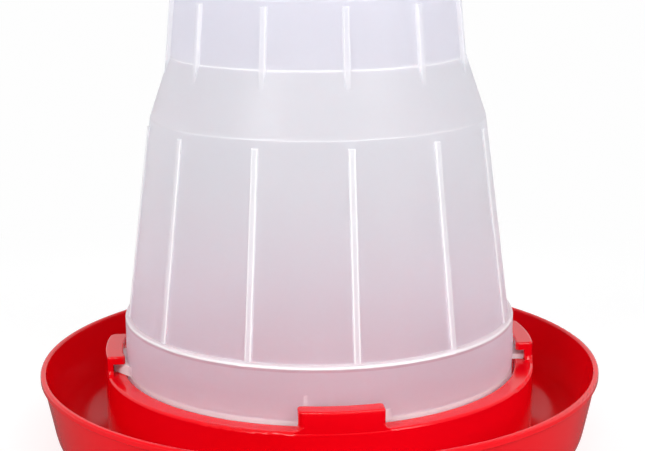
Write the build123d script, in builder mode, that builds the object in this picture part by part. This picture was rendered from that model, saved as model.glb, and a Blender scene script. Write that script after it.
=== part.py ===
"""Poultry waterer base: a red drinking tray with a bayonet ring, and the translucent jar locked into it."""

from build123d import *
from math import atan2, cos, degrees, radians, sin, sqrt, tan
import os

# The tray stands on z = 0 and both pieces turn about the Z axis. Lengths are millimetres, angles degrees.

# Tray dish
rim_radius = 130.0
tray_height = 46.0
tray_wall = 1.8
wall_lean = 11.2
lip_width = 2.4
lip_height = 3.2
lip_overhang = 0.5
lip_round = 1.0
lip_underside_chamfer = 0.5

# Raised ring inside the dish
ring_bore_radius = 91.7
ring_width = 8.4
ring_inner_wall = 2.0
ring_outer_wall = 2.4
ring_top_thickness = 2.0
ring_inner_chamfer = 0.6
ring_outer_round = 1.3
trough_corner_round = 3.0
foot_chamfer = 0.4

# Centre floor and the water ports that lead from it to the trough
floor_height = 8.0
floor_corner_chamfer = 1.8
port_count = 4
port_width = 14.0
port_height = 9.0
port_round = 1.5

# Bayonet hooks on the ring
hook_count = 4
hook_turn = 5.5
hook_length = 36.0
hook_height = 8.9
hook_wall = 2.3
hook_flange_thickness = 3.5
hook_set_back = 0.2
hook_flange_inset = 0.2
hook_stop_width = 5.4
hook_plan_round = 1.6
hook_back_round = 3.2
hook_top_round = 1.0
hook_foot_round = 2.2

# Jar shell
jar_wall = 1.8
collar_clearance = 1.4
mouth_height = 24.0
mouth_chamfer = 0.5
collar_height = 47.1
step_depth = 2.4
step_round = 1.6
main_height = 91.1
main_top_radius = 76.1
shoulder_height = 27.3
tier_bottom_radius = 66.6
tier_height = 27.8
tier_top_radius = 63.9
crown_height = 16.7
crown_radius = 58.1
crown_dome = 3.0
crown_round = 9.0
shell_edge_round = 1.2

# Ribs moulded on the jar
rib_count = 12
rib_turn = 10.4
rib_round = 0.6
rib_root = 0.6
main_rib_width = 3.0
main_rib_depth = 0.9
main_rib_top_gap = 3.4
tier_rib_width = 2.7
tier_rib_depth = 1.9
tier_rib_top_gap = 1.9
tier_rib_run_out = 8.5

# Lugs on the jar's collar
lug_gap = 0.3
lug_depth = 6.3
lug_stop_clearance = 0.5
lug_tip_overhang = 3.8
lug_bevel_length = 8.0
lug_ramp_length = 8.0
lug_ramp_drop = 2.5
lug_round = 0.5
lug_rib_width = 1.6
lug_rib_depth = 0.35
lug_rib_height = 7.5

# Radii and levels that follow from the dimensions above
ring_outer_radius = ring_bore_radius + ring_width
collar_radius = ring_bore_radius - collar_clearance
hook_top = tray_height + hook_height
hook_underside = hook_top - hook_flange_thickness
lug_bottom = tray_height + lug_gap
lug_top = hook_underside - lug_gap
hook_angle = hook_turn - 90
rib_angle = rib_turn - 90
port_angle = hook_angle + 180 / hook_count


def treat_corners(sketch, operation, corner_sizes):
    """Round or chamfer the named corners of a sketch in progress, each given as ((across, up), size)."""
    for (across, up), size in corner_sizes:
        corner = sketch.vertices().sort_by_distance(Vector(across, up))[0]
        operation(corner, size)


def wall_radius(height, offset):
    """Radius of the leaning dish wall at a height, offset inwards."""
    lean = radians(wall_lean)
    return rim_radius - lip_overhang - offset / cos(lean) - (tray_height - height) * tan(lean)


def dish_arc(offset):
    """The quarter round of the dish, from the ring's foot to the leaning wall, offset inwards."""
    lean = radians(wall_lean)
    outer_radius = (wall_radius(0, 0) - ring_outer_radius) / tan(radians(90 - wall_lean) / 2)
    radius = outer_radius - offset
    end = (ring_outer_radius + radius * cos(lean), outer_radius - radius * sin(lean))
    return (ring_outer_radius, offset), end


# Tray: one moulding of even wall, revolved, then pierced by the ports and carrying the hooks
outer_arc_start, outer_arc_end = dish_arc(0)
inner_arc_start, inner_arc_end = dish_arc(tray_wall)
lip_bottom = tray_height - lip_height
lip_inner_radius = rim_radius - lip_width
hollow_inner_radius = ring_bore_radius + ring_inner_wall
hollow_outer_radius = ring_outer_radius - ring_outer_wall
hollow_top = tray_height - ring_top_thickness
floor_underside = floor_height - tray_wall

with BuildPart() as base_tray:
    with BuildSketch(Plane.XZ) as tray_section:
        with BuildLine():
            trough = TangentArc(inner_arc_start, inner_arc_end, tangent=(1, 0))
            Polyline(
                trough @ 1,
                (lip_inner_radius, tray_height),
                (rim_radius, tray_height),
                (rim_radius, lip_bottom),
                (wall_radius(lip_bottom, 0), lip_bottom),
                outer_arc_end,
            )
            TangentArc(outer_arc_start, outer_arc_end, tangent=(1, 0))
            Polyline(
                outer_arc_start,
                (hollow_outer_radius, 0),
                (hollow_outer_radius, hollow_top),
                (hollow_inner_radius, hollow_top),
                (hollow_inner_radius, floor_underside),
                (0, floor_underside),
                (0, floor_height),
                (ring_bore_radius, floor_height),
                (ring_bore_radius, tray_height),
                (ring_outer_radius, tray_height),
                inner_arc_start,
            )
        make_face()
        corner_rounds = [
            ((lip_inner_radius, tray_height), lip_round),
            ((rim_radius, tray_height), lip_round),
            ((ring_outer_radius, tray_height), ring_outer_round),
            (inner_arc_start, trough_corner_round),
        ]
        treat_corners(tray_section, fillet, corner_rounds)
        corner_chamfers = [
            ((rim_radius, lip_bottom), lip_underside_chamfer),
            ((hollow_outer_radius, 0), foot_chamfer),
            ((ring_bore_radius, floor_height), floor_corner_chamfer),
            ((ring_bore_radius, tray_height), ring_inner_chamfer),
        ]
        treat_corners(tray_section, chamfer, corner_chamfers)
    revolve(axis=Axis.Z)

    # Solid blocks cross the ring's hollow where the ports pass, so that no water reaches the underside
    port_block_width = port_width + 2 * ring_outer_wall
    block_depth = ring_width - (ring_inner_wall + ring_outer_wall) / 2
    block_centre = ring_bore_radius + ring_inner_wall / 2 + block_depth / 2
    with BuildSketch(Plane.XY.offset(floor_underside)):
        with PolarLocations(block_centre, port_count, start_angle=port_angle):
            Rectangle(block_depth, port_block_width)
    extrude(amount=hollow_top - floor_underside)

    port_middle = floor_height + port_height / 2
    port_cut_length = 3 * ring_width
    for index in range(port_count):
        turn = port_angle + index * 360 / port_count
        radial = Vector(cos(radians(turn)), sin(radians(turn)), 0)
        port_plane = Plane(
            origin=radial * (ring_bore_radius - ring_width) + Vector(0, 0, port_middle),
            x_dir=Vector(0, 0, 1),
            z_dir=radial,
        )
        with BuildSketch(port_plane):
            RectangleRounded(port_height, port_width, port_round)
        extrude(amount=port_cut_length, mode=Mode.SUBTRACT)

# Hook: outer wall, inward flange and stop, built about +X, closed at -Y and open towards +Y
hook_start = -hook_length / 2
hook_end = hook_length / 2
flange_inner_radius = ring_bore_radius + hook_flange_inset
hook_outer_radius = ring_outer_radius - hook_set_back
hook_wall_radius = hook_outer_radius - hook_wall
hook_sink = ring_outer_round + hook_set_back
hook_reach = 2 * ring_width
foot_shares = (0.0, 0.3, 1.0)


def foot_spread(share):
    """How far a hook's foot spreads at a share of the height of its hollow round."""
    return hook_foot_round * (1 - sqrt(1 - (1 - share) ** 2))


with BuildSketch() as hook_plan:
    Circle(hook_outer_radius)
    Circle(flange_inner_radius, mode=Mode.SUBTRACT)
    with Locations((hook_outer_radius, 0)):
        Rectangle(2 * hook_reach, hook_length, mode=Mode.INTERSECT)
    back_corner = hook_plan.vertices().sort_by_distance(Vector(hook_outer_radius, hook_start))[0]
    fillet(back_corner, hook_back_round)
    front_corners = hook_plan.vertices().sort_by(Axis.Y)[-2:]
    inner_back_corner = hook_plan.vertices().sort_by_distance(Vector(flange_inner_radius, hook_start))[0]
    fillet([*front_corners, inner_back_corner], hook_plan_round)

with BuildPart() as hook:
    with BuildSketch(Plane.XY.offset(tray_height - hook_sink)):
        add(hook_plan.sketch)
        offset(amount=hook_foot_round)
    extrude(amount=hook_sink)
    for low, high in zip(foot_shares, foot_shares[1:]):
        rise = hook_foot_round * (high - low)
        spread = foot_spread(low) - foot_spread(high)
        with BuildSketch(Plane.XY.offset(tray_height + hook_foot_round * low)):
            add(hook_plan.sketch)
            offset(amount=foot_spread(low))
        extrude(amount=rise, taper=degrees(atan2(spread, rise)))
    with BuildSketch(Plane.XY.offset(tray_height)):
        add(hook_plan.sketch)
    extrude(amount=hook_height)

    # The spread foot stays within the ring
    with BuildSketch(Plane.XY.offset(tray_height - hook_sink)):
        Circle(hook_outer_radius)
        Circle(flange_inner_radius, mode=Mode.SUBTRACT)
    extrude(amount=hook_sink + hook_height, mode=Mode.INTERSECT)

    # The channel that the lug enters, closed by the stop at one end
    with BuildSketch(Plane.XY.offset(tray_height - hook_sink)):
        Circle(hook_wall_radius)
        stop_inner = (hook_outer_radius - hook_stop_width, hook_start + hook_wall)
        with Locations(stop_inner):
            Rectangle(hook_reach, hook_length, align=(Align.MIN, Align.MAX), mode=Mode.SUBTRACT)
    extrude(amount=hook_sink + hook_height - hook_flange_thickness, mode=Mode.SUBTRACT)
    fillet(hook.faces().sort_by(Axis.Z)[-1].edges(), hook_top_round)

with base_tray:
    with PolarLocations(0, hook_count, start_angle=hook_angle):
        add(hook.part)

# Jar shell: outline of the outside from the mouth up, revolved, and hollowed once its ribs are on
step_z = mouth_height + collar_height
main_top_z = step_z + main_height
tier_bottom_z = main_top_z + shoulder_height
tier_top_z = tier_bottom_z + tier_height
crown_z = tier_top_z + crown_height
main_bottom_radius = collar_radius - step_depth
main_low, main_high = (main_bottom_radius, step_z), (main_top_radius, main_top_z)
tier_low, tier_high = (tier_bottom_radius, tier_bottom_z), (tier_top_radius, tier_top_z)
crown_edge = (crown_radius, crown_z)


def slope_radius(height, low, high):
    """Radius at a height on the straight outline between two (radius, height) points."""
    share = (height - low[1]) / (high[1] - low[1])
    return low[0] + share * (high[0] - low[0])


def jar_outline(spare):
    """Points round the jar's outside, carried past the axis and the mouth by a spare amount."""
    return [
        (-spare, mouth_height - spare),
        (collar_radius, mouth_height - spare),
        (collar_radius, step_z),
        main_low,
        main_high,
        tier_low,
        tier_high,
        crown_edge,
        (0, crown_z + crown_dome),
        (-spare, crown_z + crown_dome),
    ]


with BuildPart() as jar:
    with BuildSketch(Plane.XZ) as jar_outside:
        with BuildLine():
            Polyline(*jar_outline(0)[:-1], close=True)
        make_face()
        shell_rounds = [
            ((collar_radius, step_z), step_round),
            (main_high, shell_edge_round),
            (tier_low, shell_edge_round),
            (tier_high, shell_edge_round),
            (crown_edge, crown_round),
        ]
        treat_corners(jar_outside, fillet, shell_rounds)
    revolve(axis=Axis.Z)


def rib_solid(outline, width):
    """One upright rib on the +X side, with its free edges rounded; the outline's second point is its top."""
    with BuildPart() as rib:
        with BuildSketch(Plane.XZ):
            with BuildLine():
                Polyline(*outline, close=True)
            make_face()
        extrude(amount=width / 2, both=True)
        across_edges = rib.edges().filter_by(Axis.Y)
        top_x, top_z = outline[1]
        top_edge = across_edges.sort_by_distance(Vector(top_x, 0, top_z))[0]
        long_edges = (rib.edges() - across_edges).sort_by(Edge.length)[-4:].sort_by(Axis.X)[-2:]
        fillet([top_edge, *long_edges], rib_round)
    return rib.part


# Main ribs rise from the step and stop short of the shoulder
main_rib_top = main_top_z - main_rib_top_gap
main_rib_top_radius = slope_radius(main_rib_top, main_low, main_high)
main_rib = rib_solid(
    [
        (main_rib_top_radius - rib_root, main_rib_top),
        (main_rib_top_radius + main_rib_depth, main_rib_top),
        (main_bottom_radius + main_rib_depth, step_z),
        (main_bottom_radius - rib_root, step_z),
    ],
    main_rib_width,
)

# Tier ribs keep the tier's slope down past its foot, and run out where the shoulder spreads past them
tier_slope = (tier_bottom_radius - tier_top_radius) / tier_height
tier_rib_top = tier_top_z - tier_rib_top_gap
tier_rib_top_radius = slope_radius(tier_rib_top, tier_low, tier_high)
run_out_z = tier_bottom_z - tier_rib_run_out
run_out_radius = tier_bottom_radius + tier_rib_depth + tier_slope * tier_rib_run_out
shoulder_radius = slope_radius(run_out_z, main_high, tier_low)
tier_rib = rib_solid(
    [
        (tier_rib_top_radius - rib_root, tier_rib_top),
        (tier_rib_top_radius + tier_rib_depth, tier_rib_top),
        (run_out_radius, run_out_z),
        (min(run_out_radius, shoulder_radius) - rib_root, run_out_z),
        (tier_bottom_radius - rib_root, tier_bottom_z),
    ],
    tier_rib_width,
)

with jar:
    with PolarLocations(0, rib_count, start_angle=rib_angle):
        add(main_rib)
        add(tier_rib)

    # The hollow keeps an even wall, and cuts off what a rib's root would leave inside it
    with BuildSketch(Plane.XZ) as jar_inside:
        with BuildLine():
            Polyline(*jar_outline(jar_wall), close=True)
        make_face()
        offset(amount=-jar_wall, kind=Kind.INTERSECTION)
        treat_corners(jar_inside, fillet, [(crown_edge, crown_round - jar_wall)])
    revolve(axis=Axis.Z, mode=Mode.SUBTRACT)
    chamfer(jar.faces().sort_by(Axis.Z)[0].edges(), mouth_chamfer)

# Lug: built about +X like the hook, its ramped end against the stop, its bevelled tip at the open end
lug_start = hook_start + hook_wall + lug_stop_clearance
lug_tip = hook_end + lug_tip_overhang
lug_root_radius = collar_radius - jar_wall / 2
lug_outer_radius = collar_radius + lug_depth
tip_x = sqrt(collar_radius**2 - lug_tip**2)

with BuildPart() as lug:
    with BuildSketch(Plane.YZ.offset(collar_radius - hook_reach)):
        with BuildLine():
            Polyline(
                (lug_start, lug_bottom),
                (lug_tip, lug_bottom),
                (lug_tip, lug_top),
                (lug_start + lug_ramp_length, lug_top),
                (lug_start, lug_top - lug_ramp_drop),
                close=True,
            )
        make_face()
    extrude(amount=2 * hook_reach)
    with BuildSketch(Plane.XY.offset(lug_bottom)):
        Circle(lug_outer_radius)
        Circle(lug_root_radius, mode=Mode.SUBTRACT)
        with BuildLine():
            Polyline(
                (tip_x - hook_reach, lug_start),
                (tip_x + 2 * lug_depth, lug_start),
                (tip_x + 2 * lug_depth, lug_tip - 2 * lug_bevel_length),
                (tip_x - hook_reach, lug_tip + lug_bevel_length * hook_reach / lug_depth),
                close=True,
            )
        make_face(mode=Mode.INTERSECT)
    extrude(amount=lug_top - lug_bottom, mode=Mode.INTERSECT)
    fillet(lug.faces().filter_by(GeomType.CYLINDER).sort_by(Axis.X)[-1].edges(), lug_round)

# A small rib stands above the start of each lug
with BuildPart() as lug_rib:
    with BuildSketch(Plane.XY.offset(lug_top - lug_ramp_drop - lug_round)):
        Circle(collar_radius + lug_rib_depth)
        Circle(lug_root_radius, mode=Mode.SUBTRACT)
        with Locations((collar_radius, lug_start + lug_rib_width / 2)):
            Rectangle(hook_reach, lug_rib_width, mode=Mode.INTERSECT)
    extrude(amount=lug_rib_height + lug_ramp_drop + lug_round)

with jar:
    with PolarLocations(0, hook_count, start_angle=hook_angle):
        add(lug.part)
        add(lug_rib.part)

base_tray.part.label = "base_tray"
jar.part.label = "jar"
os.makedirs("parts", exist_ok=True)
export_step(base_tray.part, "parts/base_tray.step")
export_step(jar.part, "parts/jar.step")
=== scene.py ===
import math

import bpy
from mathutils import Matrix, Vector

# A poultry waterer: a glossy red tray with a frosted jar locked into it. All lengths are in metres.

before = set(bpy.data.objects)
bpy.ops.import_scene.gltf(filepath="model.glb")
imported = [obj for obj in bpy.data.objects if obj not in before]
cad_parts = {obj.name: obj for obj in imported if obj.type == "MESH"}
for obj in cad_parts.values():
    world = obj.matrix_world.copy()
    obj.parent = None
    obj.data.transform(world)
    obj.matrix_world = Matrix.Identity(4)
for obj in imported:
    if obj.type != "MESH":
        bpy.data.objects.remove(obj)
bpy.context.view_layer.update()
scene = bpy.context.scene
scene.view_settings.view_transform = "Standard"


# Plastics. A noise is (scale, detail), and a bump is (strength, depth).

COLOUR_NOISE_SPAN = (0.3, 0.7)

RED_DEEP = (0.8, 0.0004, 0.005, 1)
RED_BRIGHT = (0.88, 0.0008, 0.009, 1)
RED_FLOW = (9.0, 3.0)
RED_FLOW_ROUGH_SPAN = (0.25, 0.75)
RED_ROUGHNESS = (0.12, 0.18)
RED_IOR = 1.49
RED_SPECULAR = 0.4
RED_PEEL = (220.0, 2.0)
RED_PEEL_BUMP = (0.15, 0.00006)
RED_GRAIN = (1400.0, 1.0)
RED_GRAIN_BUMP = (0.1, 0.00002)

JAR_COOL = (0.925, 0.945, 0.97, 1)
JAR_WARM = (0.945, 0.96, 0.985, 1)
# Pink tint low on the jar: painted red bounce light from the tray
JAR_LOW_PAINTED_RED_BOUNCE = (0.965, 0.935, 1.0, 1)
JAR_TIER = (0.95, 0.955, 1.0, 1)
# Darker crown tint: painted shade that tones down the lamps' glare on the top
JAR_CROWN_PAINTED_SHADE = (0.84, 0.85, 0.9, 1)
# Dark pink line under the step: a painted shadow
JAR_PAINTED_SHADOW_UNDER_STEP = (0.86, 0.74, 0.8, 1)
JAR_CLOUD = (22.0, 4.0)
JAR_GRAIN = (500.0, 2.0)
JAR_GRAIN_BUMP = (0.1, 0.00005)
JAR_ROUGHNESS = (0.36, 0.42)
CROWN_ROUGHNESS = 0.7
JAR_IOR = 1.4
JAR_TRANSMISSION = 0.75
JAR_COAT = 0.1
JAR_COAT_ROUGHNESS = 0.3
JAR_TRANSLUCENT_SHARE = 0.4
THICK_COLOUR = (0.99, 0.985, 1.0, 1)
THICK_ROUGHNESS = 0.35
THICK_IOR = 1.49
THICK_COAT = 0.8
THICK_COAT_ROUGHNESS = 0.12
THICK_TRANSLUCENT_SHARE = 0.25

# Heights between which the jar's tint changes

LOW_FADE = (0.05, 0.15)
TIER_FADE = (0.186, 0.192)
CROWN_FADE = (0.216, 0.226)

# Raised parts of the jar, as the solid has them: heights above the ground, unless named otherwise

RIB_START_DEG = 10.4
RIB_PITCH_DEG = 30.0
RIB_HALF_WIDTH = 0.0014
# The rib edges take a painted highlight
RIB_EDGE_ACROSS = (0.0005, 0.0009)
LOWER_RIBS = (0.0714, 0.1588)
UPPER_RIBS = (0.1819, 0.2154)
BELOW_UPPER_RIBS = (0.17, 0.175)
UPPER_RIB_POINT = (0.1815, 0.19)
POINT_WIDTH = (0.1, 1.0)
# The step band and its corner take a painted highlight
STEP_BAND = (0.0696, 0.0712)
STEP_CORNER = (0.0697, 0.0705)
# The step shade band holds a painted shadow line
STEP_SHADE = (0.0685, 0.0693)
# Painted highlight lines at the shoulder and tier folds
SHOULDER_FOLD = (0.1618, 0.1625)
TIER_FOLD = (0.1891, 0.1899)
LUG_BAND = (0.0455, 0.052)
LUG_RADIUS = (0.0907, 0.0912)
LUG_RIB_BAND = (0.0455, 0.0595)
LUG_RIB_RADIUS = (0.0904, 0.0906)
FOOT_FADE = (0.0465, 0.057)
# Painted highlight line where the jar's foot meets the ring's edge
FOOT_LINE = (0.0455, 0.0472)
RIB_BLUR = 0.0001
FINE_BLUR = 0.0002
SOFT_BLUR = 0.0003

# How white each raised part is, from 0 for the thin wall to 1 for thick plastic. On the rib edges, the step,
# the folds and the foot line this whiteness is a painted highlight.

RIB_WHITENESS = 0.25
# Painted highlight on the rib edges
RIB_EDGE_HIGHLIGHT = 0.95
UPPER_RIB_SHARE = 0.6
# Painted highlight on the step's top band
STEP_BAND_HIGHLIGHT = 0.45
# Painted highlight at the folds
FOLD_HIGHLIGHT = 0.5
SHOULDER_FOLD_SHARE = 0.5
LUG_RIB_WHITENESS = 0.35
FOOT_WHITENESS = 0.15
# Painted highlight on the foot line
FOOT_LINE_HIGHLIGHT = 0.9

# Floor and world

BACKGROUND_LEVEL = 0.99
FLOOR_HALF_SIDE = 3.0
FLOOR_DROP = 0.0005
FLOOR_FADE = (0.18, 0.5)
FLOOR_LIT_GREY = 0.78
FLOOR_GLOSSY_GREY = 0.25
FLOOR_SHADED_GREY = 0.5
FLOOR_GLOW = 0.66
WORLD_GREY = 0.8
WORLD_FRONT = 0.12
WORLD_BACK = 0.9
WORLD_TOP = 0.4
WORLD_RISE = (-0.1, 0.9)
WORLD_DEPTH = (-0.9, 0.6)
BACKDROP_DEPTH = (0.3, 0.7)

# Each lamp has its name, place, target, width and height, and power in watts

LAMPS = (
    ("key", (-1.1, -1.3, 1.2), (0, 0, 0.08), (0.8, 0.8), 18.0),
    ("fill", (1.2, -1.1, 1.0), (0, 0, 0.08), (0.6, 1.0), 11.0),
    ("edge", (0.25, -0.85, 0.95), (0, -0.05, 0.05), (0.9, 0.14), 6.0),
)

# Camera, as fitted to the photograph

CAMERA_PLACE = (0.001742, -0.66443, 0.26518)
CAMERA_PITCH_DOWN_DEG = 13.19
CAMERA_ROLL_DEG = -0.326
CAMERA_LENS = 82.15
SENSOR_WIDTH = 36
CLIP_START = 0.01


# Node helpers

def emptied_tree(owner):
    """Node tree of a material or world, with nothing in it."""
    owner.use_nodes = True
    owner.node_tree.nodes.clear()
    return owner.node_tree


def add(tree, kind, inputs=(), **settings):
    """Adds a node. Each of its inputs gets a fixed value, or a link from another node's output."""
    node = tree.nodes.new(kind)
    for name, value in settings.items():
        setattr(node, name, value)
    for key, value in dict(inputs).items():
        if isinstance(value, bpy.types.NodeSocket):
            tree.links.new(value, node.inputs[key])
        else:
            node.inputs[key].default_value = value
    return node


def noise(tree, position, scale, detail):
    inputs = {"Vector": position, "Scale": scale, "Detail": detail}
    return add(tree, "ShaderNodeTexNoise", inputs).outputs["Fac"]


def remap(tree, value, span, ends=(0.0, 1.0)):
    """Goes smoothly from the first end to the second while the value crosses the span."""
    inputs = {"Value": value, "From Min": span[0], "From Max": span[1], "To Min": ends[0], "To Max": ends[1]}
    return add(tree, "ShaderNodeMapRange", inputs, interpolation_type="SMOOTHSTEP").outputs["Result"]


def calculate(tree, operation, *values):
    return add(tree, "ShaderNodeMath", dict(enumerate(values)), operation=operation).outputs[0]


def multiply(tree, first, second):
    return calculate(tree, "MULTIPLY", first, second)


def largest(tree, first, *others):
    for other in others:
        first = calculate(tree, "MAXIMUM", first, other)
    return first


def between(tree, value, band, blur):
    """1 where the value lies in the band, falling to 0 over the blur outside it."""
    low, high = band
    rising = remap(tree, value, (low - blur, low))
    falling = remap(tree, value, (high, high + blur), (1.0, 0.0))
    return multiply(tree, rising, falling)


def mix_colour(tree, factor, first, second):
    return add(tree, "ShaderNodeMix", {0: factor, 6: first, 7: second}, data_type="RGBA").outputs[2]


def mix_value(tree, factor, first, second):
    return add(tree, "ShaderNodeMix", {0: factor, 2: first, 3: second}, data_type="FLOAT").outputs[0]


def mix_shader(tree, factor, first, second):
    return add(tree, "ShaderNodeMixShader", {0: factor, 1: first, 2: second}).outputs[0]


def bump(tree, height, strength, depth, below=None):
    """Normal of a bumped surface, on top of another bump's normal if one is given."""
    inputs = {"Height": height, "Strength": strength, "Distance": depth}
    if below is not None:
        inputs["Normal"] = below
    return add(tree, "ShaderNodeBump", inputs).outputs["Normal"]


def object_position(tree):
    return add(tree, "ShaderNodeTexCoord").outputs["Object"]


def grey(level):
    return (level, level, level, 1)


def diffuse(tree, level):
    return add(tree, "ShaderNodeBsdfDiffuse", {"Color": grey(level)}).outputs[0]


def emission(tree, strength):
    return add(tree, "ShaderNodeEmission", {"Color": grey(1), "Strength": strength}).outputs[0]


def background(tree, level, strength):
    return add(tree, "ShaderNodeBackground", {"Color": grey(level), "Strength": strength}).outputs[0]


# Materials

def red_plastic():
    """Glossy moulded plastic with a fine moulding texture and a slight change of colour and gloss."""
    material = bpy.data.materials.new("red_moulded_plastic")
    tree = emptied_tree(material)
    position = object_position(tree)
    flow = noise(tree, position, *RED_FLOW)
    peel = bump(tree, noise(tree, position, *RED_PEEL), *RED_PEEL_BUMP)
    shader = add(tree, "ShaderNodeBsdfPrincipled", {
        "Base Color": mix_colour(tree, remap(tree, flow, COLOUR_NOISE_SPAN), RED_DEEP, RED_BRIGHT),
        "Roughness": remap(tree, flow, RED_FLOW_ROUGH_SPAN, RED_ROUGHNESS),
        "Normal": bump(tree, noise(tree, position, *RED_GRAIN), *RED_GRAIN_BUMP, peel),
        "IOR": RED_IOR,
        "Specular IOR Level": RED_SPECULAR,
    })
    add(tree, "ShaderNodeOutputMaterial", {"Surface": shader.outputs[0]})
    return material


def round_coordinates(tree, position):
    """Angle round the jar's axis, distance from it, and height above the ground."""
    x, y, height = add(tree, "ShaderNodeSeparateXYZ", {0: position}).outputs
    angle = calculate(tree, "ARCTAN2", y, x)
    square = calculate(tree, "ADD", multiply(tree, x, x), multiply(tree, y, y))
    return angle, calculate(tree, "SQRT", square), height


def rib_masks(tree, angle, radius, height):
    """Masks of the ribs and of their two edges, where a painted highlight goes. The upper ribs run out to a
    point.
    """
    turned = calculate(tree, "SUBTRACT", angle, math.radians(RIB_START_DEG))
    half_pitch = math.radians(RIB_PITCH_DEG / 2)
    off_rib = calculate(tree, "WRAP", turned, half_pitch, -half_pitch)
    width = largest(tree, remap(tree, height, UPPER_RIB_POINT, POINT_WIDTH),
                    remap(tree, height, BELOW_UPPER_RIBS, (1.0, 0.0)))
    across = calculate(tree, "DIVIDE", multiply(tree, off_rib, radius), width)
    on_rib = between(tree, across, (-RIB_HALF_WIDTH, RIB_HALF_WIDTH), RIB_BLUR)
    lower = between(tree, height, LOWER_RIBS, FINE_BLUR)
    upper = multiply(tree, between(tree, height, UPPER_RIBS, FINE_BLUR), UPPER_RIB_SHARE)
    rib = multiply(tree, on_rib, largest(tree, lower, upper))
    edge = multiply(tree, rib, remap(tree, calculate(tree, "ABSOLUTE", across), RIB_EDGE_ACROSS))
    return rib, edge


# Painted highlight on the step's rounded corner and top band
def painted_step_highlight(tree, height):
    corner = between(tree, height, STEP_CORNER, FINE_BLUR)
    band = between(tree, height, STEP_BAND, FINE_BLUR)
    return largest(tree, corner, multiply(tree, band, STEP_BAND_HIGHLIGHT))


# Painted highlight lines at the tier and shoulder folds
def painted_fold_highlight(tree, height):
    tier = between(tree, height, TIER_FOLD, SOFT_BLUR)
    shoulder = between(tree, height, SHOULDER_FOLD, SOFT_BLUR)
    return largest(tree, tier, multiply(tree, shoulder, SHOULDER_FOLD_SHARE))


def lug_mask(tree, radius, height):
    lug = multiply(tree, remap(tree, radius, LUG_RADIUS), between(tree, height, LUG_BAND, SOFT_BLUR))
    rib = multiply(tree, remap(tree, radius, LUG_RIB_RADIUS, (0.0, LUG_RIB_WHITENESS)),
                   between(tree, height, LUG_RIB_BAND, SOFT_BLUR))
    return largest(tree, lug, rib)


def foot_mask(tree, height):
    """The jar's foot, where it meets the ring: whiter towards the bottom, with a painted highlight line
    along the ring's edge.
    """
    highlight_line = multiply(tree, between(tree, height, FOOT_LINE, SOFT_BLUR), FOOT_LINE_HIGHLIGHT)
    return largest(tree, remap(tree, height, FOOT_FADE, (FOOT_WHITENESS, 0.0)), highlight_line)


def jar_whiteness_and_highlights(tree, angle, radius, height):
    """From 0 on the thin wall to 1 on thick plastic, with painted highlights on the rib edges, the step, the
    folds and the foot line.
    """
    rib, rib_edge_highlight = rib_masks(tree, angle, radius, height)
    return largest(
        tree,
        multiply(tree, rib, RIB_WHITENESS),
        foot_mask(tree, height),
        multiply(tree, rib_edge_highlight, RIB_EDGE_HIGHLIGHT),
        painted_step_highlight(tree, height),
        multiply(tree, painted_fold_highlight(tree, height), FOLD_HIGHLIGHT),
        lug_mask(tree, radius, height),
    )


def jar_tint(tree, cloud, height):
    """Tint of the thin wall: warmer low down, a painted red bounce from the tray; cooler in the upper tier;
    darker in the crown as painted shade; and a painted shadow line under the step.
    """
    tint = mix_colour(tree, remap(tree, cloud, COLOUR_NOISE_SPAN), JAR_COOL, JAR_WARM)
    tint = mix_colour(tree, remap(tree, height, LOW_FADE, (1.0, 0.0)), tint, JAR_LOW_PAINTED_RED_BOUNCE)
    tint = mix_colour(tree, remap(tree, height, TIER_FADE), tint, JAR_TIER)
    tint = mix_colour(tree, remap(tree, height, CROWN_FADE), tint, JAR_CROWN_PAINTED_SHADE)
    # Painted shadow line under the step
    return mix_colour(tree, between(tree, height, STEP_SHADE, SOFT_BLUR), tint, JAR_PAINTED_SHADOW_UNDER_STEP)


def frosted_plastic():
    """Frosted plastic that scatters the light it lets through and looks whiter where it is thick, with
    painted highlights and shade.
    """
    material = bpy.data.materials.new("frosted_translucent_plastic")
    tree = emptied_tree(material)
    position = object_position(tree)
    angle, radius, height = round_coordinates(tree, position)
    cloud = noise(tree, position, *JAR_CLOUD)
    tint = jar_tint(tree, cloud, height)
    normal = bump(tree, noise(tree, position, *JAR_GRAIN), *JAR_GRAIN_BUMP)
    wall = add(tree, "ShaderNodeBsdfPrincipled", {
        "Base Color": tint,
        "Roughness": largest(tree, remap(tree, cloud, COLOUR_NOISE_SPAN, JAR_ROUGHNESS),
                             remap(tree, height, CROWN_FADE, (0.0, CROWN_ROUGHNESS))),
        "Normal": normal,
        "IOR": JAR_IOR,
        "Transmission Weight": JAR_TRANSMISSION,
        "Coat Weight": JAR_COAT,
        "Coat Roughness": JAR_COAT_ROUGHNESS,
    })
    wall_scatter = add(tree, "ShaderNodeBsdfTranslucent", {"Color": tint, "Normal": normal})
    thick = add(tree, "ShaderNodeBsdfPrincipled", {
        "Base Color": THICK_COLOUR,
        "Roughness": THICK_ROUGHNESS,
        "IOR": THICK_IOR,
        "Coat Weight": THICK_COAT,
        "Coat Roughness": THICK_COAT_ROUGHNESS,
    })
    thick_scatter = add(tree, "ShaderNodeBsdfTranslucent", {"Color": THICK_COLOUR})
    surface = mix_shader(
        tree, jar_whiteness_and_highlights(tree, angle, radius, height),
        mix_shader(tree, JAR_TRANSLUCENT_SHARE, wall.outputs[0], wall_scatter.outputs[0]),
        mix_shader(tree, THICK_TRANSLUCENT_SHARE, thick.outputs[0], thick_scatter.outputs[0]),
    )
    add(tree, "ShaderNodeOutputMaterial", {"Surface": surface})
    return material


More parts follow.
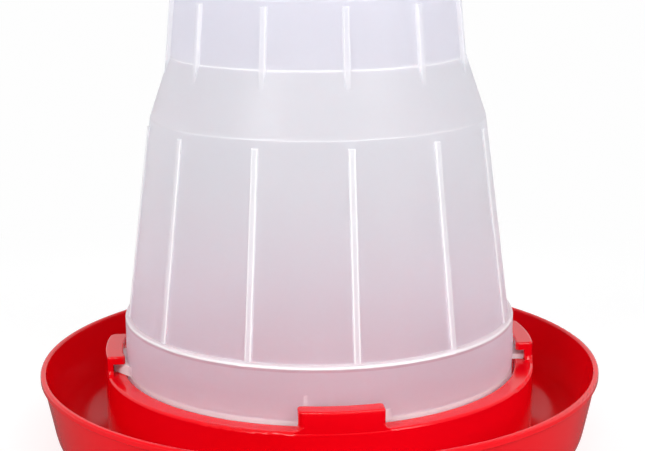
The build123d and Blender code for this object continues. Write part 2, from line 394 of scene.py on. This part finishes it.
def floor_material():
    """White floor. The camera sees it with the object's soft shadow, and reflections see its far part."""
    material = bpy.data.materials.new("pale_floor")
    tree = emptied_tree(material)
    distance = add(tree, "ShaderNodeVectorMath", {0: object_position(tree)}, operation="LENGTH")
    far = remap(tree, distance.outputs["Value"], FLOOR_FADE)
    path = add(tree, "ShaderNodeLightPath").outputs
    white = emission(tree, BACKGROUND_LEVEL)
    shaded = diffuse(tree, FLOOR_SHADED_GREY)
    near = add(tree, "ShaderNodeAddShader", {0: shaded, 1: emission(tree, FLOOR_GLOW)}).outputs[0]
    for_camera = mix_shader(tree, far, near, white)
    beside_object = mix_shader(tree, path["Is Glossy Ray"], diffuse(tree, FLOOR_LIT_GREY),
                               diffuse(tree, FLOOR_GLOSSY_GREY))
    shows_white = multiply(tree, largest(tree, path["Is Glossy Ray"], path["Is Transmission Ray"]), far)
    for_others = mix_shader(tree, shows_white, beside_object, white)
    surface = mix_shader(tree, path["Is Camera Ray"], for_others, for_camera)
    add(tree, "ShaderNodeOutputMaterial", {"Surface": surface})
    return material


def studio_world():
    """Studio lit from above and behind, and dimmer towards -Y. The camera sees it plain white."""
    world = bpy.data.worlds.new("studio")
    tree = emptied_tree(world)
    direction = add(tree, "ShaderNodeTexCoord").outputs["Generated"]
    part = add(tree, "ShaderNodeSeparateXYZ", {0: direction}).outputs
    from_above = remap(tree, part["Z"], WORLD_RISE)
    level = mix_value(tree, remap(tree, part["Y"], WORLD_DEPTH),
                      remap(tree, from_above, (0.0, 1.0), (WORLD_FRONT, WORLD_TOP)),
                      remap(tree, from_above, (0.0, 1.0), (WORLD_BACK, WORLD_TOP)))
    path = add(tree, "ShaderNodeLightPath").outputs
    shows_backdrop = multiply(tree, path["Is Glossy Ray"], remap(tree, part["Y"], BACKDROP_DEPTH))
    for_others = mix_shader(tree, largest(tree, path["Is Transmission Ray"], shows_backdrop),
                            background(tree, WORLD_GREY, level),
                            background(tree, WORLD_GREY, BACKGROUND_LEVEL))
    surface = mix_shader(tree, path["Is Camera Ray"], for_others, background(tree, 1, BACKGROUND_LEVEL))
    add(tree, "ShaderNodeOutputWorld", {"Surface": surface})
    return world


# The object

for node, material in (("base_tray", red_plastic()), ("jar", frosted_plastic())):
    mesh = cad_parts[node].data
    mesh.materials.clear()
    mesh.materials.append(material)


# Floor, light and camera

def add_floor():
    side = FLOOR_HALF_SIDE
    corners = [(-side, -side, 0), (side, -side, 0), (side, side, 0), (-side, side, 0)]
    mesh = bpy.data.meshes.new("floor")
    mesh.from_pydata(corners, [], [(0, 1, 2, 3)])
    mesh.materials.append(floor_material())
    floor = bpy.data.objects.new("floor", mesh)
    floor.location.z = -FLOOR_DROP
    scene.collection.objects.link(floor)


def add_lamp(name, place, target, size, power):
    data = bpy.data.lights.new(name, "AREA")
    data.shape = "RECTANGLE"
    data.size, data.size_y = size
    data.energy = power
    lamp = bpy.data.objects.new(name, data)
    lamp.location = place
    lamp.rotation_euler = (Vector(target) - Vector(place)).to_track_quat("-Z", "Y").to_euler()
    lamp.visible_camera = False
    scene.collection.objects.link(lamp)


def add_camera():
    data = bpy.data.cameras.new("camera")
    data.sensor_width = SENSOR_WIDTH
    data.lens = CAMERA_LENS
    data.clip_start = CLIP_START
    camera = bpy.data.objects.new("camera", data)
    tilt = Matrix.Rotation(math.radians(90 - CAMERA_PITCH_DOWN_DEG), 4, "X")
    roll = Matrix.Rotation(math.radians(CAMERA_ROLL_DEG), 4, "Z")
    camera.matrix_world = Matrix.Translation(CAMERA_PLACE) @ tilt @ roll
    scene.collection.objects.link(camera)
    return camera


add_floor()
scene.world = studio_world()
for lamp_values in LAMPS:
    add_lamp(*lamp_values)
scene.camera = add_camera()
